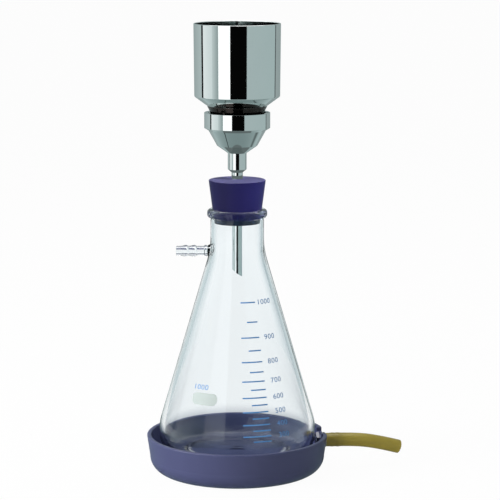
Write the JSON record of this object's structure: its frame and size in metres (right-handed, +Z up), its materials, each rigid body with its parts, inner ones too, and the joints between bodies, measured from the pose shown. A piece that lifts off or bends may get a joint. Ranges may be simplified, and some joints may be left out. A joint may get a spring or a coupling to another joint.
{
  "type": "vacuum filtration unit",
  "caption": "Vacuum filtration unit: a steel twist-lock funnel over a screen base, on a rubber stopper in a side-arm glass flask that stands in a round drip tray with a short hose.",
  "frame": {"origin": "centre of the tray's underside, on the table, on the common axis of flask, stopper and funnel", "axes": "+Z up along the common axis; the flask's side arm points to -X, the hose leaves to +X, the scale faces -Y"},
  "size_m": [0.2161, 0.1517, 0.3757],
  "materials": {
    "polished_steel": "polished stainless steel",
    "screen_steel": "satin stainless steel, drilled",
    "fitting_metal": "turned metal",
    "clear_glass": "clear borosilicate glass",
    "blue_enamel": "fired blue enamel",
    "pale_enamel": "fired pale grey-green enamel, matt",
    "stopper_rubber": "smooth dark violet rubber",
    "tray_plastic": "moulded violet-blue plastic, soft gloss",
    "hose_rubber": "olive-amber rubber",
    "black_rubber": "black rubber",
    "white_seal": "white silicone rubber"
  },
  "bodies": {
    "stand": {"tray": "tray_plastic", "outlet_nozzle": "fitting_metal", "outlet_nut": "fitting_metal", "outlet_washer": "black_rubber", "hose": "hose_rubber", "flask": "clear_glass", "scale_marks": "blue_enamel", "marking_spot": "pale_enamel", "stopper": "stopper_rubber", "stem_tube": "polished_steel", "support_base": "polished_steel", "screen_ring": "white_seal", "support_screen": "screen_steel"},
    "funnel": {"funnel_seal": "white_seal", "lock_pins": "polished_steel", "funnel_foot": "polished_steel", "funnel_cup": "polished_steel"}
  },
  "joints": [
    {"name": "funnel_twist", "type": "hinge", "parent": "stand", "child": "funnel", "pos_m": [0, 0, 0.3], "axis": [0, 0, -1], "range_deg": [0, 40]}
  ]
}
